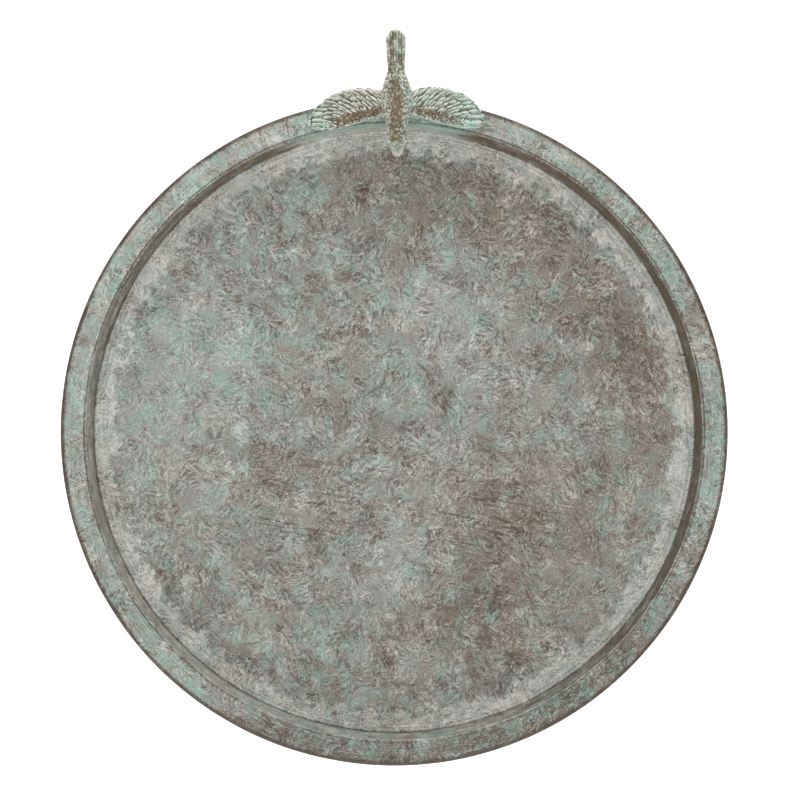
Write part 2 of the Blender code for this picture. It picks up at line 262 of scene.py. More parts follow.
def smooth_path(rows, share):
    """Catmull-Rom value at a share of the way through evenly numbered rows of numbers."""
    rows = np.asarray(rows, float)
    position = min(max(share, 0), 1) * (len(rows) - 1)
    i = min(int(position), len(rows) - 2)
    t = position - i
    a, b = rows[max(i - 1, 0)], rows[i]
    c, d = rows[i + 1], rows[min(i + 2, len(rows) - 1)]
    return 0.5 * (2 * b + (c - a) * t + (2 * a - 5 * b + 4 * c - d) * t * t
                  + (3 * b - a - 3 * c + d) * t ** 3)


def node_size(node):
    """A node's middle X and Y, its lower and upper height and its radius."""
    low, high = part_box(node)
    sizes = (low.x + high.x) / 2, (low.y + high.y) / 2, low.z, high.z, (high.x - low.x) / 2
    return [size / MM for size in sizes]


# -------- materials


class Value:
    """A node's output that is worked on like a number or, if it holds three, a vector."""

    def __init__(self, nodes, socket):
        self.nodes, self.socket = nodes, socket

    def __add__(self, other):
        return self.nodes.combine("ADD", self, other)

    def __sub__(self, other):
        return self.nodes.combine("SUBTRACT", self, other)

    def __rsub__(self, other):
        return self.nodes.combine("SUBTRACT", other, self)

    def __mul__(self, other):
        return self.nodes.combine("MULTIPLY", self, other)

    def __truediv__(self, other):
        return self.nodes.combine("DIVIDE", self, other)

    __radd__, __rmul__ = __add__, __mul__


class Nodes:
    """Builds one material's nodes, with short calls for what is used most. Places are in mm."""

    def __init__(self, name):
        self.material = bpy.data.materials.new(name)
        self.material.use_nodes = True
        self.tree = self.material.node_tree
        self.place = self.use("ShaderNodeTexCoord", (), "Object") * (1 / MM)

    def use(self, kind, given, output=0, **settings):
        """Adds a node, feeds its sockets by place or name, and gives one output or several."""
        node = self.tree.nodes.new(kind)
        for key, value in settings.items():
            setattr(node, key, value)
        for key, value in given.items() if isinstance(given, dict) else enumerate(given):
            self.feed(node.inputs[key], value)
        if isinstance(output, tuple):
            return [Value(self, node.outputs[key]) for key in output]
        return Value(self, node.outputs[output])

    def feed(self, socket, value):
        if isinstance(value, Value):
            self.tree.links.new(value.socket, socket)
        elif isinstance(value, tuple) and len(value) == 3 and socket.type == "RGBA":
            socket.default_value = (*value, 1)
        else:
            socket.default_value = value

    def combine(self, operation, a, b):
        """Works on two values, as vectors if either is one."""
        vector = any(isinstance(v, tuple) or isinstance(v, Value) and v.socket.type != "VALUE"
                     for v in (a, b))
        if not vector:
            return self.use("ShaderNodeMath", (a, b), operation=operation)
        a, b = ((v,) * 3 if isinstance(v, (int, float)) else v for v in (a, b))
        return self.use("ShaderNodeVectorMath", (a, b), operation=operation)

    def either(self, a, b):
        """The sum of two shares, at most 1."""
        return self.use("ShaderNodeMath", (a, b), operation="ADD", use_clamp=True)

    def length(self, value):
        return self.use("ShaderNodeVectorMath", (value,), "Value", operation="LENGTH")

    def split(self, value):
        return self.use("ShaderNodeSeparateXYZ", (value,), (0, 1, 2))

    def join(self, x, y, z):
        return self.use("ShaderNodeCombineXYZ", (x, y, z))

    def grain(self, size, where=None, detail=4, roughness=0.55, distortion=0.0, shift=0.0,
              output="Fac"):
        """Noise whose features are about one size across, at a place or at the point itself."""
        where = where or self.place
        if shift:
            where = where + (shift, shift * 0.7, shift * 1.3)
        return self.use("ShaderNodeTexNoise", {
            "Vector": where, "Scale": 1 / size, "Detail": detail, "Roughness": roughness,
            "Distortion": distortion}, output, noise_dimensions="3D")

    def ramp(self, value, *stops):
        """A value between stops of (position, colour)."""
        node = self.tree.nodes.new("ShaderNodeValToRGB")
        self.feed(node.inputs[0], value)
        elements = node.color_ramp.elements
        for _ in stops[2:]:
            elements.new(0.5)
        for element, (position, colour) in zip(elements, stops):
            element.position = position
            element.color = (*colour, 1)
        return Value(self, node.outputs["Color"])

    def span(self, value, start, end, first=0.0, last=1.0):
        """Turns start to end into first to last, smoothly, level beyond both."""
        return self.use("ShaderNodeMapRange", (value, start, end, first, last),
                        interpolation_type="SMOOTHSTEP")

    def window(self, value, a, b, c, d):
        """1 from b to c, falling to 0 at a and d."""
        return self.span(value, a, b) * self.span(value, d, c)

    def mix(self, share, a, b, blend="MIX"):
        return self.use("ShaderNodeMix", {0: share, 6: a, 7: b}, 2, data_type="RGBA",
                        blend_type=blend)

    def weigh(self, *terms):
        """Adds up (weight, value) terms, each value taken from its middle of 0.5."""
        return sum(((value - 0.5) * weight for weight, value in terms), 0.5)

    def finish(self, colour, roughness, metallic, relief, depth, strength):
        """Ends the material, with a bump as deep as depth, in metres."""
        bump = self.use("ShaderNodeBump", {"Height": relief, "Distance": depth,
                                           "Strength": strength}, "Normal")
        shader = self.tree.nodes["Principled BSDF"]
        for name, value in (("Base Color", colour), ("Roughness", roughness),
                            ("Metallic", metallic), ("Normal", bump)):
            self.feed(shader.inputs[name], value)
        return self.material


def srgb(red, green, blue):
    """Linear colour from 0 to 255 screen values."""
    return tuple(c / 12.92 if c <= 0.04045 else ((c + 0.055) / 1.055) ** 2.4
                 for c in (red / 255, green / 255, blue / 255))


# Patina colours, darkest to palest, the green that comes through in patches, and bare metal
UMBER = srgb(66, 53, 40)
BROWN = srgb(95, 82, 73)
DRAB = srgb(120, 112, 104)
STONE = srgb(144, 143, 135)
CHALK = srgb(171, 172, 164)
LIME = srgb(208, 208, 201)
DARK_TEAL = srgb(84, 98, 82)
TEAL = srgb(124, 163, 150)
PALE_TEAL = srgb(158, 186, 176)
BARE = srgb(93, 75, 54)


def brush(n, where, cell, stroke, width, shift, bend=0.02):
    """Dabs of a stiff brush, each its own way: how far each covers, its bristle marks and two
    random values of its own. Cell is a dab's size, stroke and width those of its marks."""
    moved = where + (shift, -shift, shift * 0.3)
    distance, colour, centre = n.use(
        "ShaderNodeTexVoronoi", {"Vector": moved, "Scale": 1 / cell},
        ("Distance", "Color", "Position"), voronoi_dimensions="3D", feature="F1")
    way, chance, other = n.use("ShaderNodeSeparateColor", (colour,), (0, 1, 2))
    turned = n.use("ShaderNodeVectorRotate", {"Vector": moved - centre,
                                              "Angle": way * (2 * math.pi)},
                   rotation_type="Z_AXIS")
    along_it, across, up = n.split(turned)
    bent = along_it * along_it * bend + across
    marks = n.grain(1, n.join(along_it * (1 / stroke), bent * (1 / width), chance * 50 + up),
                    detail=2, roughness=0.6, distortion=0.3)
    return n.span(distance, 0.72, 0.38), marks, chance, other


def patina_value(n):
    """How pale the dabbed patina is, from 0, bare brown, to 1, chalky."""
    warped = n.place + (n.grain(16, detail=2, output="Color") - 0.5) * 12
    value = n.weigh((0.14, n.grain(80, detail=2, roughness=0.5)),
                    (0.24, n.grain(19, warped, detail=5, roughness=0.68, shift=40)),
                    (0.34, n.grain(1.15, detail=1, roughness=0.6)))
    for cell, stroke, width, shift, weight, own in ((23, 13, 2.6, 0, 0.75, 0.1),
                                                    (14, 8, 1.5, 57, 0.8, 0.1),
                                                    (9, 5, 0.9, 91, 0.66, 0.08)):
        cover, marks, chance, _ = brush(n, warped, cell, stroke, width, shift)
        value += ((marks - 0.5) * weight + (chance - 0.5) * own) * cover
    cover, marks, chance, _ = brush(n, n.place, 34, 26, 1.5, 133, 0.006)
    scratch = n.span(marks, 0.59, 0.66) * n.span(chance, 0.45, 0.6) * cover
    cover, marks, chance, other = brush(n, warped, 11, 7, 1.2, 171, 0.05)
    wisp = n.span(marks, 0.6, 0.68) * n.span(chance, 0.4, 0.5) * cover
    return warped, value + scratch * -0.13 + wisp * 0.22, other


def bronze_patina():
    """The bowl's finish: dabbed verdigris, pale at the floor's edge, brown in the wall, and brown
    on the rim's outer edge as painted shade; the wall is painted paler where it faces the lights.
    """
    n = Nodes("bowl patina")
    x, y, height = n.split(n.place)
    radius = n.length(n.place * (1, 1, 0))

    def toward(degrees):
        """From 0, on the far side, to 1, in that direction from the middle."""
        a = math.radians(degrees)
        return (x * math.cos(a) + y * math.sin(a)) / radius * 0.5 + 0.5

    def ring(inner, outer, soft=0.5):
        return n.window(radius, inner - soft, inner + soft, outer - soft, outer + soft)

    # Where things are: the floor's patches, then rings from the floor's edge to the rim's edge
    drift = n.grain(38, roughness=0.65, shift=77, output="Color") - 0.5
    loose = n.place + drift * (95, 95, 0)

    def spot(middle_x, middle_y, reach):
        return n.span(n.length((loose - (middle_x, middle_y, 0)) * (1, 1, 0)), reach, 0)

    dish = radius * radius * ((POOL_EDGE_Z - POOL_CENTRE_Z) / POOL_RADIUS ** 2)
    upper = n.span(height - dish, 10.5, 12.5)
    floor = upper * n.span(radius, 226, 222)
    outer_right = n.span(toward(42), 0.66, 0.98) * n.window(radius, 120, 190, 203, 216)
    lower_right = (spot(105, -75, 105) + spot(50, -150, 85)) * floor
    left = spot(-170, 60, 120) * floor
    middle = (spot(40, 65, 90) + spot(10, -100, 60)) * floor
    ragged = (n.grain(10, detail=5, roughness=0.72, shift=21) - 0.5) * 52 + radius
    pale_edge = upper * n.span(ragged, 213, 221) * n.span(radius, 231, 230.4)
    foot = ring(230.2, 231.4, 0.35)
    wall = ring(231.4, 234.2, 0.4)
    line = ring(235.4, 236.2, 0.25)
    band = n.span(radius, 236.2, 237)
    # Painted shade: the rim's rounded outer edge is darkened.
    lip = n.span(radius, 249.4, 252.6)
    near_bird = n.span(toward(93), 0.972, 0.992)

    # How pale it is
    warped, value, chance = patina_value(n)
    streaked = n.grain(1, n.join(x * 0.034 + y * 0.004, x * 0.1 + y * 0.62, height * 0.05),
                       detail=2, roughness=0.5, distortion=0.5)
    streaks = n.span(streaked, 0.57, 0.66) * n.either(spot(-70, -60, 75), spot(75, -85, 95))
    turned = n.join(radius, toward(20) * 9, toward(110) * 9)
    lathe_lines = n.grain(0.9, turned, detail=3, roughness=0.6)
    worn = n.grain(8, detail=5, roughness=0.7, shift=66) - 0.5
    # Painted light: the wall is painted paler on its side towards the lower left and by the bird,
    # where it faces the lights, and shows less bare brown there.
    toward_wall_light = toward(232)
    for share, shift in (
            (streaks, -0.2), (outer_right, -0.07), (lower_right, -0.085), (left, 0.07),
            (middle, 0.05), (pale_edge, 0.21), (foot, -0.16), (wall, -0.12),
            (wall * n.span(height, 34, 22), -0.05), (line, -0.12), (lip, -0.27),
            (ring(227.3, 228.1, 0.3), -0.09), (wall * worn, 0.6),
            (n.span(radius, 214, 226) * (lathe_lines - 0.5), 0.4),
            (wall * toward_wall_light * toward_wall_light, 0.3), (n.either(wall, foot) * near_bird, 0.3),
            # Painted light and shade on the band: paler at its outer edge towards the upper left,
            # darker towards the lower right.
            (band * n.span(radius, 254, 249) * toward(135), 0.1),
            (band * n.span(toward(285), 0.75, 1), -0.14), (upper - 1, 0.12)):
        value += share * shift
    tone = n.ramp(value, (0.19, UMBER), (0.34, BROWN), (0.445, DRAB), (0.552, STONE),
                  (0.69, CHALK), (0.86, LIME))

    # How warm it is
    warm = n.weigh((0.8, n.grain(64, roughness=0.6, shift=140)),
                   (0.4, chance), (0.35, n.grain(5, warped, detail=2, shift=19)))
    warm += outer_right * 0.3 + lower_right * 0.22 - left * 0.22 - middle * 0.16 \
        + n.either(wall, lip) * 0.3
    cast = n.ramp(warm, (0.15, (0.975, 0.985, 1.035)), (0.5, (1.002, 0.992, 1.002)),
                  (0.85, (1.045, 0.985, 0.93)))
    tone = n.mix(1.0, tone, cast, "MULTIPLY")

    # How green it is
    green = n.weigh((0.95, n.grain(17, warped, detail=5, roughness=0.66, shift=90)),
                    (0.55, n.grain(2.6, detail=3, shift=33)),
                    (0.35, n.grain(70, detail=2, shift=70)), (-0.25, warm))
    mottle = n.grain(6, warped, roughness=0.6, shift=45) - 0.5
    wall_by_bird = near_bird * n.span(height, 31, 35) * n.window(radius, 231, 232, 236.5, 237.5)
    for share, shift in ((band, 0.05), (band * mottle, 0.9),
                         (wall * n.span(toward(262), 0.8, 1), 0.16), (band * near_bird, 0.2),
                         (wall_by_bird, 0.62), (wall * mottle, 1.2), (wall, -0.05), (lip, -0.1),
                         (pale_edge, -0.07)):
        green += share * shift
    verdigris = n.mix(n.span(value, 0.4, 0.78), TEAL, PALE_TEAL)
    verdigris = n.mix(n.span(value, 0.5, 0.2), verdigris, DARK_TEAL)
    colour = n.mix(n.span(green, 0.4, 0.8, 0, 0.6), tone, verdigris)
    # Bare brown shows less on the wall's painted lit side towards the lower left and by the bird.
    bare = n.either(wall, line) * n.span(value, 0.58, 0.34) \
        * n.span(toward_wall_light, 1.05, 0.4) * (1 - near_bird)
    colour = n.mix(bare * 0.78, colour, BARE)

    relief = n.weigh((0.5, value), (0.25, lathe_lines), (0.5, n.grain(2.2)))
    return n.finish(colour, n.span(value, 0.2, 0.75, 0.56, 0.86), 0.0, relief, 0.00035, 0.5)


def bird_patina():
    """The bird's finish: its feathers' ridges painted pale as painted highlight, and teal and
    brown down in the grooves, which are also painted dark as painted shade.
    """
    n = Nodes("bird patina")
    x = n.split(n.place)[0]
    pink_side = n.window(x, -54, -44, -9, -4)
    teal_side = n.use("ShaderNodeMath", (n.span(x, 38, 54), n.span(x, -48, -58, 0, 0.65)),
                      operation="MAXIMUM")
    hollow, brown = (n.use("ShaderNodeAttribute", (), "Fac", attribute_name=name)
                     for name in ("hollow", "brown"))
    ridge = 1 - hollow
    brown = brown * n.span(x, -12, 12, 1.15, 0.85)
    cloud = n.grain(8, detail=3, roughness=0.6, shift=5)
    dab = n.grain(2.6, detail=3, roughness=0.65, shift=18)
    speck = n.grain(0.9, detail=1, roughness=0.7, shift=31)
    patchy = (n.grain(3.6, detail=3, shift=95) - 0.5) * 1.9 + brown
    brown = n.span(patchy, 0.34, 1.0) * n.span(brown, 0.02, 0.35)
    # Painted highlight and shade: ridges are painted pale and grooves dark from the relief.
    value = n.weigh((1.12, ridge), (0.4, cloud), (0.6, dab), (0.5, speck))
    value += (brown - 0.12) * -0.17 + teal_side * 0.06
    tone = n.ramp(value, (0.14, srgb(58, 46, 34)), (0.3, srgb(88, 78, 64)),
                  (0.42, srgb(116, 114, 101)), (0.54, srgb(152, 158, 145)),
                  (0.68, srgb(188, 193, 180)), (0.86, srgb(222, 224, 212)))
    # The bronze patches are also paler on the ridges as painted highlight, along with rubbed wear.
    rubbed_and_ridge_lit = n.weigh((0.6, ridge), (0.8, dab), (0.75, speck), (0.4, cloud))
    bronze = n.ramp(rubbed_and_ridge_lit, (0.14, srgb(52, 38, 25)), (0.38, srgb(92, 73, 52)),
                    (0.57, srgb(117, 99, 73)), (0.72, srgb(160, 149, 121)),
                    (0.9, srgb(203, 196, 172)))
    green = n.weigh((0.9, n.grain(8, detail=3, shift=50)),
                    (0.8, n.grain(2.4, detail=2, shift=73)), (-0.3, ridge),
                    (0.1, teal_side), (-0.1, pink_side))
    verdigris = n.mix(n.span(value, 0.3, 0.8), srgb(84, 112, 98), srgb(176, 206, 193))
    colour = n.mix(n.span(green, 0.44, 0.76, 0, 0.72), tone, verdigris)
    colour = n.mix(brown * 0.88, colour, bronze)
    cold = n.weigh((1.0, n.grain(22, detail=3, shift=61)), (0.34, teal_side),
                   (-0.3, pink_side))
    cast = n.ramp(cold, (0.2, (1.05, 0.985, 0.975)), (0.5, (1.0, 1.0, 0.995)),
                  (0.8, (0.955, 1.015, 1.01)))
    colour = n.mix(1.0, colour, cast, "MULTIPLY")
    return n.finish(colour, n.span(value, 0.2, 0.8, 0.5, 0.8), 0.0,
                    n.weigh((0.5, dab), (0.5, speck)), 0.0003, 0.6)


def steel_finish():
    n = Nodes("brushed stainless")
    smear = n.grain(4, shift=7)
    scuff = n.grain(1.1, n.place * (1, 1, 9), detail=3)
    colour = n.mix(n.span(smear, 0.42, 0.66), srgb(186, 186, 182), srgb(150, 149, 143))
    return n.finish(colour, n.span(scuff, 0.3, 0.7, 0.26, 0.46), 1.0, scuff, 0.00008, 0.3)


def brass_finish():
    n = Nodes("turned brass")
    stain = n.grain(5, shift=3)
    colour = n.mix(n.span(stain, 0.45, 0.62), srgb(186, 157, 104), srgb(118, 97, 66))
    return n.finish(colour, n.span(stain, 0.4, 0.7, 0.28, 0.55), 1.0,
                    n.grain(1, n.place * (1, 1, 12)), 0.00005, 0.3)


def rubber_finish():
    n = Nodes("black rubber")
    dust = n.grain(3, detail=5, shift=9)
    colour = n.mix(n.span(dust, 0.5, 0.72), srgb(30, 30, 30), srgb(62, 60, 57))
    return n.finish(colour, n.span(dust, 0.4, 0.7, 0.6, 0.85), 0.0, n.grain(0.35),
                    0.0001, 0.3)


# -------- bowl


def pool_height(radius):
    return POOL_CENTRE_Z + (POOL_EDGE_Z - POOL_CENTRE_Z) * (radius / POOL_RADIUS) ** 2


def underside(radius):
    return pool_height(radius) - FLOOR_THICKNESS


def bowl_profile():
    """The bowl's section from the middle of its floor, over the rim and back underneath."""
    floor_radii = [POOL_RADIUS * i / 90 for i in range(1, 91)]
    floor = [(AXIS, POOL_CENTRE_Z)] + [(r, pool_height(r)) for r in floor_radii]
    ledge_z, ledge_end = POOL_EDGE_Z + 1, WALL_FOOT_RADIUS - 1.6
    ledge = along([(POOL_RADIUS + 0.7, ledge_z - 0.25), (POOL_RADIUS + 1.1, ledge_z),
                   (ledge_end, ledge_z)], 0.4)
    foot = arc((ledge_end, ledge_z + 1.6), 1.6, -80, -8, 7)
    wall = along([foot[-1], (RIM_INNER_RADIUS, RIM_TOP - 0.9)], 1.1)[1:]
    bead = arc((RIM_INNER_RADIUS + 0.65, RIM_TOP - 0.6), 0.65, 165, 35, 10)
    groove_radius = RIM_INNER_RADIUS + 1.75
    groove = arc((groove_radius, RIM_TOP), 0.5, 205, 335, 7)
    half_rim = RIM_THICKNESS / 2
    band_end = RIM_RADIUS - half_rim
    band = along([(groove_radius + 0.75, RIM_TOP), (band_end, RIM_TOP)], 1)
    edge = arc((band_end, RIM_TOP - half_rim), half_rim, 84, -84, 16)
    rim_under = RIM_TOP - RIM_THICKNESS
    cove = arc((RIM_INNER_RADIUS + WALL_THICKNESS + 3.4, rim_under - 3.4), 3.4, 90, 180, 9)
    under = along([(band_end, rim_under), cove[0]], 2)[:-1] + cove
    knuckle = arc((WALL_FOOT_RADIUS + WALL_THICKNESS - 6, POOL_EDGE_Z + 0.8), 6, 0, -82, 14)
    outside = along([cove[-1], knuckle[0]], 2)[1:-1] + knuckle
    under_radii = [POOL_RADIUS * (0.97 - 0.745 * i / 60) for i in range(61)]
    below = [(r, underside(r)) for r in under_radii]
    fillet = arc((HUB_RADIUS + 4.4, underside(HUB_RADIUS) - 3.6), 3.6, 95, 178, 9)
    hub = along([fillet[-1], (HUB_RADIUS, 1)], 1)[1:]
    hub += [(HUB_RADIUS - 0.3, 0.3), (HUB_RADIUS - 1, 0)]
    seat = along([hub[-1], (AXIS, 0)], 4)[1:]
    return floor + ledge + foot + wall + bead + groove + band + edge + under + outside + below \
        + fillet + hub + seat


def uneven(piece):
    """Moves each point along its normal, as a hand-finished casting stands off its true shape."""
    normals = [v.normal.copy() for v in piece.data.vertices]
    for vertex, normal in zip(piece.data.vertices, normals):
        place = vertex.co / MM
        if vertex.co.z < 8 * MM:
            continue
        swell = noise.noise(place / 55) * 0.22 + noise.noise(place / 19 + Vector((7, 3, 1))) * 0.1
        pits = noise.noise(place / 5.5 + Vector((2, 9, 4))) * 0.035
        calm = 0.45 if math.hypot(*vertex.co.xy) > RIM_INNER_RADIUS * MM else 1.0
        vertex.co += normal * ((swell * calm + pits) * MM)
    piece.data.update()


def turned_shape(x, y, levels, steps=64):
    """An upright turned shape from (height, radius) levels."""
    return tube_mesh([[(x + r * math.cos(a), y + r * math.sin(a), z) for a in turns(steps)]
                      for z, r in levels])


def boss_levels():
    """A foot boss from its face up into the floor, flared where it meets it."""
    top = underside(FOOT_CIRCLE_RADIUS)
    flare = 3
    cove = [(top + flare * (math.sin(a) - 1) + 0.4, BOSS_RADIUS + flare * (1 - math.cos(a)))
            for a in (math.radians(15 * i) for i in range(7))]
    return [(0, BOSS_RADIUS - 0.8), (0.8, BOSS_RADIUS)] + cove + [(top + 2, BOSS_RADIUS + flare)]


def rib_shape(angle):
    """A drafted rib from the hub to a boss, flared along the floor."""
    start, end = HUB_RADIUS - 3, FOOT_CIRCLE_RADIUS - 8
    way = Vector((math.cos(angle), math.sin(angle), 0))
    across = Vector((-way.y, way.x, 0))

    def ring_at(share):
        radius = start + (end - start) * share
        top = underside(radius)
        half = [(2.4, 3), (3.0, 3.7), (3.2, top - 2.2), (3.7, top - 0.9), (5.2, top + 0.15),
                (5.2, top + 2)]
        outline = half + [(-w, z) for w, z in reversed(half)]
        return [way * radius + across * w + Vector((0, 0, z)) for w, z in outline]

    return loft(24, ring_at)


def make_basin():
    basin = lathe("basin_cast", bowl_profile(), steps=TURN_STEPS)
    uneven(basin)
    feet = [node_size(f"foot_bush_{i}")[:2] for i in FEET]
    ribs = [rib_shape(math.atan2(y, x)) for x, y in feet]
    socket = ((-5, FOOT_SOCKET + 0.8), (-0.1, FOOT_SOCKET + 0.8), (0.7, FOOT_SOCKET),
              (12, FOOT_SOCKET))
    bosses = [turned_shape(x, y, boss_levels()) for x, y in feet]
    bores = [turned_shape(x, y, socket) for x, y in feet]
    bores += [turned_shape(*node_size(f"pedestal_bush_{i}")[:2],
                           ((-5, PEDESTAL_SOCKET), (10, PEDESTAL_SOCKET))) for i in FEET]
    bores += [turned_shape(*node_size(f"bird_stud_{side}")[:2],
                           ((30, STUD_BORE), (60, STUD_BORE)), 32) for side, _ in SIDES]
    for name, shapes, operation in (("ribs", ribs, "UNION"), ("bosses", bosses, "UNION"),
                                    ("bores", bores, "DIFFERENCE")):
        tool = joined(name, shapes)
        modify(basin, "BOOLEAN", operation=operation, object=tool)
        apply_modifiers(basin)
        bpy.data.objects.remove(tool)
    shade(basin, 32)
    return basin


# -------- bird, in its own frame


def bird_place():
    """From the bird's own frame, in mm, to the bowl's: on the rim between its gaskets."""
    (left_x, left_y, *_), (right_x, right_y, *_) = (
        node_size(f"bird_gasket_{side}") for side, _ in SIDES)
    turn = Matrix.Rotation(math.atan2(right_y - left_y, right_x - left_x), 4, "Z")
    middle = ((left_x + right_x) / 2, (left_y + right_y) / 2, RIM_TOP)
    return Matrix.Scale(MM, 4) @ Matrix.Translation(middle) @ turn


def tube(path, radii, sides=16, flatten=1.0):
    """A rod along a path, closed at both ends, with a radius at each point."""
    path = [Vector(p) for p in path]
    rings = []
    for i, (point, radius) in enumerate(zip(path, radii)):
        heading = (path[min(i + 1, len(path) - 1)] - path[max(i - 1, 0)]).normalized()
        side = heading.cross(Vector((0, 0, 1)) if abs(heading.z) < 0.9 else Vector((0, 1, 0)))
        side.normalize()
        lift = side.cross(heading)
        rings.append([point + (side * math.cos(a) + lift * math.sin(a) * flatten) * radius
                      for a in turns(sides)])
    return tube_mesh(rings)


def ball(centre, radii, rows=12, sides=20):
    def ring_at(share):
        a = math.pi * (share * rows + 0.02) / (rows + 0.04)
        return [(centre[0] + radii[0] * math.sin(a) * math.cos(b),
                 centre[1] + radii[1] * math.sin(a) * math.sin(b),
                 centre[2] + radii[2] * math.cos(a)) for b in turns(sides)]

    return loft(rows, ring_at)


def plumage(y, angle, row=3.1, columns=21):
    """Relief of small overlapping feathers, each rising to a rounded free end, from 0 to 1."""
    best = 0.0
    for k in (math.floor(y / row) - 1, math.floor(y / row)):
        column = angle / (2 * math.pi) * columns + 0.5 * (k % 2)
        off = column - math.floor(column) - 0.5
        uneven_end = 0.85 + 0.35 * noise.cell(Vector((k, math.floor(column) % columns, 0.5)))
        reach = 1.45 * row * uneven_end * math.sqrt(max(0.0, 1 - (1.75 * off) ** 2))
        share = (y - k * row) / max(reach, 0.001)
        if 0 <= share <= 1:
            best = max(best, (0.25 + 0.75 * share) * (1 - 1.6 * off * off))
    return best


def ease(value, low, high):
    share = min(max((value - low) / (high - low), 0.0), 1.0)
    return share * share * (3 - 2 * share)


def body_core():
    def ring_at(share):
        y, z, half_width, half_height = smooth_path(BODY_SECTIONS, share)
        feathered = (0.25 + 0.75 * ease(y, -27, -19)) * (1 - ease(y, 22, 27))
        ring = []
        for a in turns(90):
            swell = 0.5 * feathered * plumage(y, a)
            where = Vector((math.cos(a) * 4, y / 2.0, math.sin(a) * 4))
            swell += 0.45 * feathered * noise.noise(where) + 0.3 * noise.noise(where * 2.3)
            ring.append(((half_width - 0.35 + swell) * math.cos(a), y,
                         z + (half_height - 0.35 + swell) * math.sin(a)))
        return ring

    return loft(190, ring_at)


def beak():
    """A short cone that droops a little, with the line of the mouth along both sides."""
    def ring_at(t):
        centre = Vector((0, -28.6 - 8.9 * t, 15.0 - 4.2 * t - 1.1 * t * t))
        half_width, half_height = 6.1 * (1 - t) ** 0.5 + 0.3, 4.6 * (1 - t) ** 0.6 + 0.3
        ring = []
        for a in turns(36):
            off_mouth = abs(math.remainder(a - math.pi / 2, 2 * math.pi)) - 1.95
            mouth = 0.5 * math.exp(-((off_mouth / 0.16) ** 2)) * (1 - t)
            ring.append(centre + Vector(((half_width - mouth) * math.cos(a), 0,
                                         (half_height - mouth) * math.sin(a))))
        return ring

    return loft(24, ring_at)


def head_details():
    shapes = [beak()]
    for _, sign in SIDES:
        shapes.append(ball((sign * 5.4, -26.4, 19.0), (1.7, 2.2, 2.0)))
        shapes.append(ball((sign * 6.7, -26.6, 18.6), (0.8, 1.05, 1.0)))
    return shapes


def tail_feathers():
    """Six straight feathers, fanned a little, with a furrow down the middle."""
    shapes = [tube([(0, 20 + 3.3 * i, 28.2 + 1.27 * i) for i in range(11)],
                   [4.0, 4.2, 4.4, 4.6, 4.8, 5.0, 5.2, 5.4, 5.3, 4.4, 2.2], 28, 0.2)]
    for i in (-2.5, 2.5, -1.5, 1.5, -0.5, 0.5):
        start, end = Vector((i * 1.9, 21, 29.3)), Vector((i * 2.25, 54.9 - 0.62 * i * i, 41.7))

        def ring_at(s):
            centre = start.lerp(end, s) - Vector((0, 0, 0.3 * abs(i)))
            rounded = math.sqrt(max(0.02, 1 - max(0, (s - 0.9) / 0.1) ** 2))
            half = 1.95 * min(1, 0.7 + 0.5 * s) * rounded
            barbs = 0.35 * noise.noise(Vector((i * 3.1, s * 13.2, 0)))
            top = [centre + Vector((c * half, 0, 0.95 * (1 - 0.85 * c * c) + barbs
                                    + 0.12 * math.exp(-(c / 0.25) ** 2))) for c in ACROSS]
            return top + [p - Vector((0, 0, 1.5)) for p in top[::-1]]

        shapes.append(loft(24, ring_at))
    return shapes


def leg(sign):
    """A feathered thigh, a shank down to the gasket, and four toes that lie on the rim."""
    x = sign * LEG_X
    heights = (1.6, 2.2, 3.4, 5.5, 8.0, 10.0, 12.5, 15.0, 18.0)
    radii = (3.1, 3.0, 2.35, 2.2, 2.3, 2.9, 4.0, 4.7, 4.6)
    shapes = [tube([(x, 0.15 * (h - 1.6) * 0.4, h) for h in heights], radii, 32)]
    for heading, length in ((-125, 7.0), (-92, 8.4), (-58, 7.0), (88, 6.2)):
        a = math.radians(heading if sign > 0 else -180 - heading)
        way = Vector((math.cos(a), math.sin(a), 0))
        toe = ((0.1, 2.6), (0.3, 2.9), (0.5, 2.5), (0.7, 2.3), (0.86, 1.9), (1.0, 1.0))
        path = [Vector((x, 0, 0)) + way * length * s + Vector((0, 0, z)) for s, z in toe]
        shapes.append(tube(path, (1.5, 1.35, 1.05, 1.2, 0.85, 0.35), 14))
    return shapes


class Skin:
    """The outside of a mesh, seen from above or, with side -1, from below."""

    def __init__(self, shape, side):
        self.tree = BVHTree.FromPolygons(*shape)
        self.side = side

    def height(self, x, y):
        hit = self.tree.ray_cast(Vector((x, y, 100 * self.side)), Vector((0, 0, -self.side)))[0]
        return (hit or self.tree.find_nearest(Vector((x, y, 12)))[0]).z


def feather(skin, tip, heading, length, width, lift, tilt, crown, bend):
    """A blade over a skin: crowned across, with a shaft, rising to a rounded free end."""
    way = Vector((math.cos(heading), math.sin(heading)))
    side = Vector((-way.y, way.x))

    def ring_at(s):
        middle = Vector(tip[:2]) - way * length * (1 - s) + side * bend * length * s * (1 - s)
        half = width / 2 * min(1.0, 0.6 + 0.7 * s)
        half *= math.sqrt(max(0.012, 1 - max(0.0, (s - 0.72) / 0.28) ** 2))
        top, bottom = [], []
        for c in ACROSS:
            spot = middle + side * c * half
            rise = lift[0] + (lift[1] - lift[0]) * s + crown * (1 - c * c) + tilt * c
            rise += 0.22 * math.exp(-(c / 0.24) ** 2)
            z = skin.height(*spot) + skin.side * rise
            top.append(Vector((*spot, z)))
            bottom.append(Vector((*spot, z - skin.side * (1.1 + crown * (1 - c * c)))))
        return top + bottom[::-1]

    return loft(12, ring_at)


def wing_station(share):
    """Leading edge, trailing edge and half thickness at a share of the way to the wing's tip."""
    row = smooth_path(WING_SECTIONS, share)
    return Vector(row[:3]), Vector(row[3:6]), row[6]


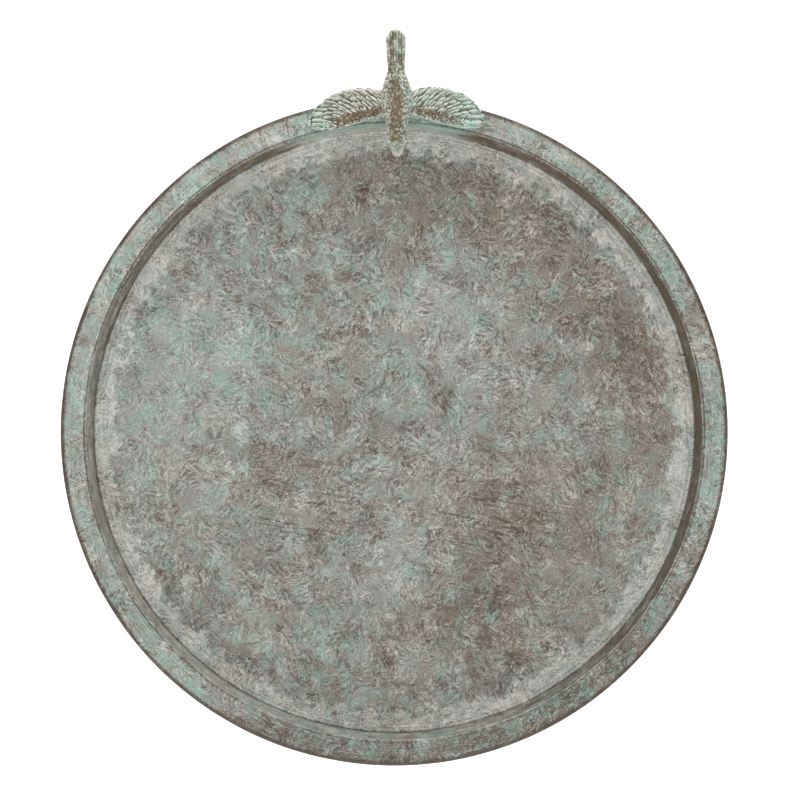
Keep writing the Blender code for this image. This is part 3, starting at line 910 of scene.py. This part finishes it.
def wing_core():
    def ring_at(along_wing):
        lead, trail, half = wing_station(along_wing)
        chord = trail - lead
        ring = []
        for a in turns(40):
            share = (1 - math.cos(a)) / 2
            rise = WING_CAMBER * chord.length * math.sin(math.pi * share)
            ring.append(lead + chord * share
                        + Vector((0, 0, rise + half * math.sin(a) * (1 - 0.5 * share))))
        return ring

    return loft(60, ring_at)


def wing_edge():
    """Points along the wing's free edge: its trailing edge, then round its tip."""
    edge = [wing_station(i / 80)[1] for i in range(81)]
    lead, trail = Vector(WING_SECTIONS[-1][:3]), Vector(WING_SECTIONS[-1][3:6])
    return edge + [trail + (lead - trail) * i / 8 + Vector((0.9 * math.sin(math.pi * i / 8), 0, 0))
                   for i in range(1, 9)]


def at_share(points, share):
    steps = [(b - a).length for a, b in zip(points, points[1:])]
    left = share * sum(steps)
    for a, b, step in zip(points, points[1:], steps):
        if left <= step:
            return a + (b - a) * (left / step)
        left -= step
    return points[-1]


def feather_row(skin, chance, count, span, inset, length, width, lift, turn=(54, 4), crown=0.55):
    """One row of feathers whose free ends lie an inset inside the wing's free edge."""
    edge = wing_edge()
    shapes = []
    for i in range(count):
        t = span[0] + (span[1] - span[0]) * i / (count - 1)
        t += chance.uniform(-0.35, 0.35) * (span[1] - span[0]) / count
        bend = ease(t, -0.15, 1.05)
        heading = math.radians(turn[0] + (turn[1] - turn[0]) * bend)
        way = Vector((math.cos(heading), math.sin(heading), 0))
        tip = at_share(edge, t) - way * (inset + chance.uniform(-0.6, 0.6))
        size = 1 + chance.uniform(-0.14, 0.14)
        shapes.append(feather(skin, tip, heading + chance.uniform(-0.12, 0.12), length * size,
                              width * size, lift, -0.42, crown, chance.uniform(0.1, 0.34)))
    return shapes


def knobs(skin, chance):
    """The rough band of small coverts behind the leading edge."""
    shapes = []
    for _ in range(150):
        along_wing = chance.uniform(0.0, 0.72)
        across = chance.uniform(0.04, 0.42 - 0.25 * along_wing)
        lead, trail, _ = wing_station(along_wing)
        spot = lead.lerp(trail, across)
        size = chance.uniform(0.6, 1.4)
        z = skin.height(spot.x, spot.y) - 0.35 * size
        shapes.append(ball((spot.x, spot.y, z), (size * chance.uniform(0.7, 1.6),
                                                 size * chance.uniform(0.6, 1.1), size), 8, 12))
    return shapes


def wing_shapes(seed):
    """The right wing's core, four rows of feathers and coverts above, and one row below."""
    chance = random.Random(seed)
    core = wing_core()
    above, below = Skin(core, 1), Skin(core, -1)
    shapes = [core]
    for row in ((16, (0.04, 0.99), -1.1, 17, 4.3, (-0.9, 0.3), (54, 4), 1.0),
                (14, (0.03, 0.9), 8.5, 10, 3.4, (-0.6, 0.4), (56, 6), 0.85),
                (15, (0.03, 0.84), 13.5, 8.5, 2.7, (-0.6, 0.45), (62, 10), 0.75),
                (11, (0.03, 0.64), 18.0, 6.5, 2.6, (-0.5, 0.5), (66, 18), 0.7)):
        shapes += feather_row(above, chance, *row)
    shapes += knobs(above, chance)
    return shapes + feather_row(below, chance, 16, (0.08, 0.98), -0.4, 17, 4.9, (-0.9, -0.1))


def wing_tints(places):
    """How brown the wing is: its rough leading band, but for the tip."""
    rows = np.array(WING_SECTIONS)
    span = np.abs(places[:, 0])
    lead, trail = (np.interp(span, rows[:, i], rows[:, i + 1]) for i in (0, 3))
    share = (places[:, 1] - lead) / np.maximum(trail - lead, 3)
    band = np.exp(-((share - 0.2) / 0.17) ** 2) * np.clip((56 - span) / 14, 0, 1)
    return band * 0.95


def body_tints(places):
    """How brown the body is: down the middle of its back and head, less on its flanks."""
    x, y = places[:, 0], places[:, 1]
    back = np.exp(-(x / 6.8) ** 2) * np.clip((y + 31) / 5, 0, 1)
    return np.maximum(back * np.clip(1.4 - y / 25, 0, 1), 0.57 * (y > 22))


def fused(name, shapes, place, tints):
    """Melts overlapping shapes into one casting and puts it in its place."""
    piece = joined(name, shapes, 1)
    modify(piece, "REMESH", mode="VOXEL", voxel_size=VOXEL)
    modify(piece, "SMOOTH", factor=0.5, iterations=1)
    apply_modifiers(piece)
    mark_hollows(piece, tints)
    piece.data.transform(place)
    if place.determinant() < 0:
        piece.data.flip_normals()
    piece.data.shade_smooth()
    return piece


def mark_hollows(piece, tints):
    """Stores on each point how deep it lies in a groove, above 0.5, or how far it stands out,
    which the bird's finish paints as shade and highlight.
    """
    mesh = piece.data
    count = len(mesh.vertices)

    def read(items, key, width, kind):
        values = np.zeros(len(items) * width, kind)
        items.foreach_get(key, values)
        return values.reshape(-1, width)

    places, normals = (read(mesh.vertices, key, 3, np.float32) for key in ("co", "normal"))
    a, b = read(mesh.edges, "vertices", 2, np.int32).T
    degree = np.bincount(a, minlength=count) + np.bincount(b, minlength=count)

    def spread(values):
        total = np.zeros_like(values)
        np.add.at(total, a, values[b])
        np.add.at(total, b, values[a])
        return total / np.maximum(degree, 1)[:, None]

    smoothed, depth = places.copy(), np.zeros(count, np.float32)
    for i in range(1, 25):
        smoothed = spread(smoothed)
        if i in (3, 10, 24):
            depth += ((smoothed - places) * normals).sum(1) * (1.0 if i < 24 else 0.7)
    brown = np.clip(tints(places), 0, 1)
    for name, values in (("hollow", np.clip(0.5 + depth / 1.6, 0, 1)), ("brown", brown)):
        layer = mesh.attributes.new(name, "FLOAT", "POINT")
        layer.data.foreach_set("value", values.astype(np.float32))


# -------- hardware


def thread(pitch, depth, start, end):
    """A ripple that cuts a helical thread between two heights, into a rod or round a bore."""
    def cut(radius, height, angle):
        if not start < height < end or abs(depth) > radius:
            return radius
        share = (height / pitch - angle / (2 * math.pi)) % 1
        fade = min(1, (height - start) / pitch, (end - height) / pitch)
        return radius - depth * fade * min(1, max(0, abs(share - 0.5) * 2.6 - 0.3))
    return cut


def hexagonal(apothem):
    """A ripple that cuts six flats, one of them towards +X."""
    def ripple(radius, height, angle):
        sector = math.radians(60)
        return min(radius, apothem / math.cos((angle + sector / 2) % sector - sector / 2)) \
            if radius > apothem * 0.75 else radius
    return ripple


def inside(bore, within, beyond):
    """A ripple that is one ripple on a bore and another, or none, on all that is wider."""
    def ripple(radius, height, angle):
        shape = within if radius < bore + 0.001 else beyond
        return shape(radius, height, angle) if shape else radius
    return ripple


def eased(radius, face, size, soft, way):
    """An eased outer corner from a face to the side, which is above it or, if way is -1, below."""
    return [(radius - size, face), (radius - soft, face + way * soft), (radius, face + way * size)]


def sleeve(name, node, bore, pitch=0.0, bevel=0.3):
    """A turned ring in a node's place, with rounded edges and, if it has a pitch, a thread."""
    x, y, low, high, outer = node_size(node)
    half = min(bevel, (high - low) / 2.2)
    top, foot = high - half, low + half
    profile = [(bore + half, low)] + eased(outer, low, half, half * 0.3, 1)
    profile += eased(outer, high, half, half * 0.3, -1)[::-1] + [(bore + half, high), (bore, top)]
    profile += along([(bore, top), (bore, foot)], pitch / 7 or high - low)[1:]
    profile.append(profile[0])
    shape = thread(pitch, -0.13 * pitch, foot, top) if pitch else None
    return lathe(name, profile, x, y, 72, inside(bore, shape, None))


def lock_nut(name, node, bore):
    """A threaded hexagon nut, chamfered on both faces."""
    x, y, low, high, _ = node_size(node)
    corner, chamfer = 7.45, 0.75
    apothem = corner * math.cos(math.radians(30))
    face = apothem * 0.96
    slope = [(face + (corner - face) * i / 5, chamfer * i / 5) for i in range(6)]
    profile = [(bore + 0.4, high)] + [(r, high - fall) for r, fall in slope]
    profile += [(corner, (high + low) / 2)] + [(r, low + fall) for r, fall in slope[::-1]]
    profile += [(bore + 0.4, low), (bore, low + 0.4)]
    profile += along([(bore, low + 0.4), (bore, high - 0.4)], 0.18)[1:]
    profile.append(profile[0])
    shape = thread(FOOT_PITCH, -0.16, low, high)
    return lathe(name, profile, x, y, 144, inside(bore, shape, hexagonal(apothem)))


def cap_nut(name, node, bore):
    """A hexagon nut with a dome below it, bored from above."""
    x, y, low, high, _ = node_size(node)
    corner, foot = 3.42, high - 3
    apothem = corner * math.cos(math.radians(30))
    profile = [(AXIS, low + 0.6), (bore, low + 0.55), (bore, high - 0.2), (bore + 0.2, high),
               (apothem * 0.95, high), (corner, high - 0.35), (corner, foot + 0.35),
               (apothem * 0.97, foot)]
    profile += [(2.65 * math.cos(a), foot - 0.05 - (foot - low - 0.05) * math.sin(a))
                for a in (math.radians(88 * i / 10) for i in range(11))]
    profile.append((AXIS, low))
    return lathe(name, profile, x, y, 96, hexagonal(apothem))


def rod(name, radius, low, high, pitch=0.0, x=0, y=0):
    """A rod with chamfered ends, threaded all along if it has a pitch."""
    bevel = 0.35
    profile = [(AXIS, high), (radius - bevel, high), (radius, high - bevel)]
    profile += along([(radius, high - bevel), (radius, low + bevel)], pitch / 8 or 2)[1:]
    profile += [(radius - bevel, low), (AXIS, low)]
    shape = thread(pitch, 0.3 * pitch, low - pitch, high + pitch) if pitch else None
    return lathe(name, profile, x, y, 48, shape)


def stud(name, node):
    x, y, low, high, _ = node_size(node)
    return rod(name, STUD_RADIUS, low, high, STUD_PITCH, x, y)


def foot_stem(name, node):
    """A levelling stem: M8 thread, knurled hand wheel and a spigot that snaps into the pad."""
    x, y, low, high, wheel_radius = node_size(node)
    radius, spigot, rim = 3.98, 2.95, wheel_radius - 0.02
    thread_foot = WHEEL_TOP + 0.9
    profile = [(AXIS, high - 0.02), (radius - 0.8, high - 0.02), (radius, high - 0.8)]
    profile += along([(radius, high - 0.8), (radius, thread_foot)], 0.16)[1:]
    profile += [(radius - 0.5, WHEEL_TOP + 0.5), (radius - 0.5, WHEEL_TOP), (9.6, WHEEL_TOP),
                (10.0, WHEEL_TOP - 0.3), (10.6, WHEEL_TOP - 0.3), (11.0, WHEEL_TOP)]
    upper, lower = eased(rim, WHEEL_TOP, 0.9, 0.25, -1), eased(rim, WHEEL_BOTTOM, 0.9, 0.25, 1)
    profile += upper + along([upper[-1], lower[-1]], 0.4)[1:-1] + lower[::-1]
    profile += [(spigot + 0.5, WHEEL_BOTTOM), (spigot, WHEEL_BOTTOM - 0.4), (spigot, low + 1.4),
                (spigot - 0.35, low + 1.1), (spigot - 0.35, low + 0.9), (spigot, low + 0.7),
                (spigot - 0.7, low), (AXIS, low)]
    screw = thread(FOOT_PITCH, 0.5, thread_foot, high + 1.0)

    def ripple(r, height, angle):
        if r > 12:  # the wheel's side
            return r - 0.45 * abs(math.sin(angle * 30 + height * 1.7)
                                  * math.sin(angle * 30 - height * 1.7))
        return screw(r, height, angle) if r > 3.6 and height > WHEEL_TOP else r

    return lathe(name, profile, x, y, 180, ripple)


def foot_pad(name, node):
    """A moulded rubber pad: socket for the spigot, ribbed side and grooves under it."""
    x, y, low, high, outer = node_size(node)
    socket, socket_floor = 3.3, -17.7
    profile = [(AXIS, socket_floor), (socket, socket_floor), (socket, high - 0.5),
               (socket + 0.5, high), (outer - 2.4, high), (outer - 1.5, high - 0.3),
               (outer - 0.9, high - 1)]
    profile += along([(outer - 0.9, high - 1), (outer, low + 1)], 0.7)[1:]
    profile += [(outer - 0.3, low + 0.3), (outer - 1, low)]
    for groove in (10.4, 7.2, 4.0):
        profile += [(groove + 0.9, low), (groove + 0.6, low + 0.7), (groove - 0.2, low + 0.7),
                    (groove - 0.5, low)]
    profile.append((AXIS, low))

    def ripple(r, height, angle):
        if r > outer - 1.1 and low + 0.8 < height < high - 0.9:
            return r - 0.3 * (0.5 + 0.5 * math.cos(angle * 36)) ** 2
        return r

    return lathe(name, profile, x, y, 216, ripple)


def wing_pin(name, sign):
    """A plain dowel across the wing's root, in the bird's frame."""
    pin = rod(name, 1.5, -5, 5)
    spin = Matrix.Rotation(math.radians(90), 4, "Y") @ Matrix.Scale(1 / MM, 4)
    pin.data.transform(bird_place() @ Matrix.Translation((sign * 12, 3, 21.4)) @ spin)
    return pin


# -------- stage, in metres


def make_stage():
    """A white floor under the feet, bright enough to be the photo's white."""
    floor_z = CAD_BOX[0].z
    size = 6.0
    corners = [(x, y, floor_z) for x, y in ((-size, -size), (size, -size), (size, size),
                                            (-size, size))]
    floor = mesh_object("floor", corners, [(0, 1, 2, 3)], 1)
    material = bpy.data.materials.new("white floor")
    material.use_nodes = True
    shader = material.node_tree.nodes["Principled BSDF"]
    shader.inputs["Base Color"].default_value = (0.9, 0.9, 0.9, 1)
    shader.inputs["Roughness"].default_value = 0.9
    shader.inputs["Emission Color"].default_value = (1, 1, 1, 1)
    shader.inputs["Emission Strength"].default_value = 0.75
    floor.data.materials.append(material)


def add_light(name, place, target, size, power):
    data = bpy.data.lights.new(name, "AREA")
    data.shape = "RECTANGLE"
    data.size, data.size_y = size
    data.energy = power
    light = add_object(name, data)
    light.location = place
    light.rotation_euler = (Vector(target) - Vector(place)).to_track_quat("-Z", "Y").to_euler()


def make_lights():
    middle = (0, 0, RIM_TOP * MM)
    add_light("back softbox", (0, 2.2, 1.7), middle, (3.0, 1.2), 34)
    add_light("front softbox", (0, -2.2, 1.7), middle, (3.0, 1.2), 40)
    add_light("overhead softbox", (0, 0, 3.2), middle, (1.8, 1.8), 22)
    world = bpy.data.worlds.new("studio")
    bpy.context.scene.world = world
    world.use_nodes = True
    background = world.node_tree.nodes["Background"]
    background.inputs["Color"].default_value = (1, 1, 1, 1)
    background.inputs["Strength"].default_value = 0.45


def make_camera():
    """Straight above the bowl, the way a catalogue shows it, with the bird at 12 o'clock."""
    data = bpy.data.cameras.new("camera")
    data.sensor_width = 36
    distance = 2.0
    view_width = 0.6078
    data.lens = data.sensor_width * distance / view_width
    data.clip_end = 20
    camera = add_object("camera", data)
    camera.location = (4.2 * MM, 24.4 * MM, RIM_TOP * MM + distance)
    camera.rotation_euler = (0, 0, math.radians(0.45))
    bpy.context.scene.camera = camera


# -------- assembly


def show(piece, node, slot, body="bowl"):
    """Gives a piece its finish, and says which body it rides on and which node it replaces."""
    piece.data.materials.clear()
    piece.data.materials.append(FINISHES[slot])
    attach(piece, body)
    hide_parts(node)


def fit(make, node, ending, slot, *sizes, body="bowl", **more):
    """Makes one node's piece, named after the node and how it's made, and shows it."""
    show(make(f"{node}_{ending}", node, *sizes, **more), node, slot, body)


make_stage()
make_lights()
make_camera()
bpy.context.scene.view_settings.view_transform = "Standard"

FINISHES = {"bowl_bronze": bronze_patina(), "bird_bronze": bird_patina(),
            "stainless_steel": steel_finish(), "turned_brass": brass_finish(),
            "black_rubber": rubber_finish()}

show(make_basin(), "basin", "bowl_bronze")

place = bird_place()
body_parts = [body_core(), *head_details(), *tail_feathers(), *leg(-1), *leg(1)]
show(fused("bird_body_cast", body_parts, place, body_tints), "bird_body", "bird_bronze")
for side, sign in SIDES:
    wing = fused(f"wing_{side}_cast", wing_shapes(3 + sign),
                 place @ Matrix.Diagonal((sign, 1, 1, 1)), wing_tints)
    show(wing, f"wing_{side}", "bird_bronze")

for i in FEET:
    fit(sleeve, f"pedestal_bush_{i}", "turned", "turned_brass", PEDESTAL_BORE, FOOT_PITCH)
    fit(sleeve, f"foot_bush_{i}", "turned", "turned_brass", FOOT_BORE, FOOT_PITCH)
    fit(lock_nut, f"foot_locknut_{i}", "turned", "stainless_steel", FOOT_BORE)
    fit(foot_stem, f"foot_stem_{i}", "turned", "stainless_steel", body=f"stem_{i}")
    fit(foot_pad, f"foot_pad_{i}", "moulded", "black_rubber", body=f"pad_{i}")
for side, sign in SIDES:
    fit(stud, f"bird_stud_{side}", "cut", "stainless_steel")
    fit(sleeve, f"bird_washer_{side}", "pressed", "stainless_steel", STUD_BORE, bevel=0.2)
    fit(sleeve, f"bird_gasket_{side}", "moulded", "black_rubber", STUD_BORE)
    fit(cap_nut, f"bird_cap_nut_{side}", "turned", "turned_brass", STUD_BORE)
    show(wing_pin(f"wing_pin_{side}_cut", sign), f"wing_pin_{side}", "stainless_steel")
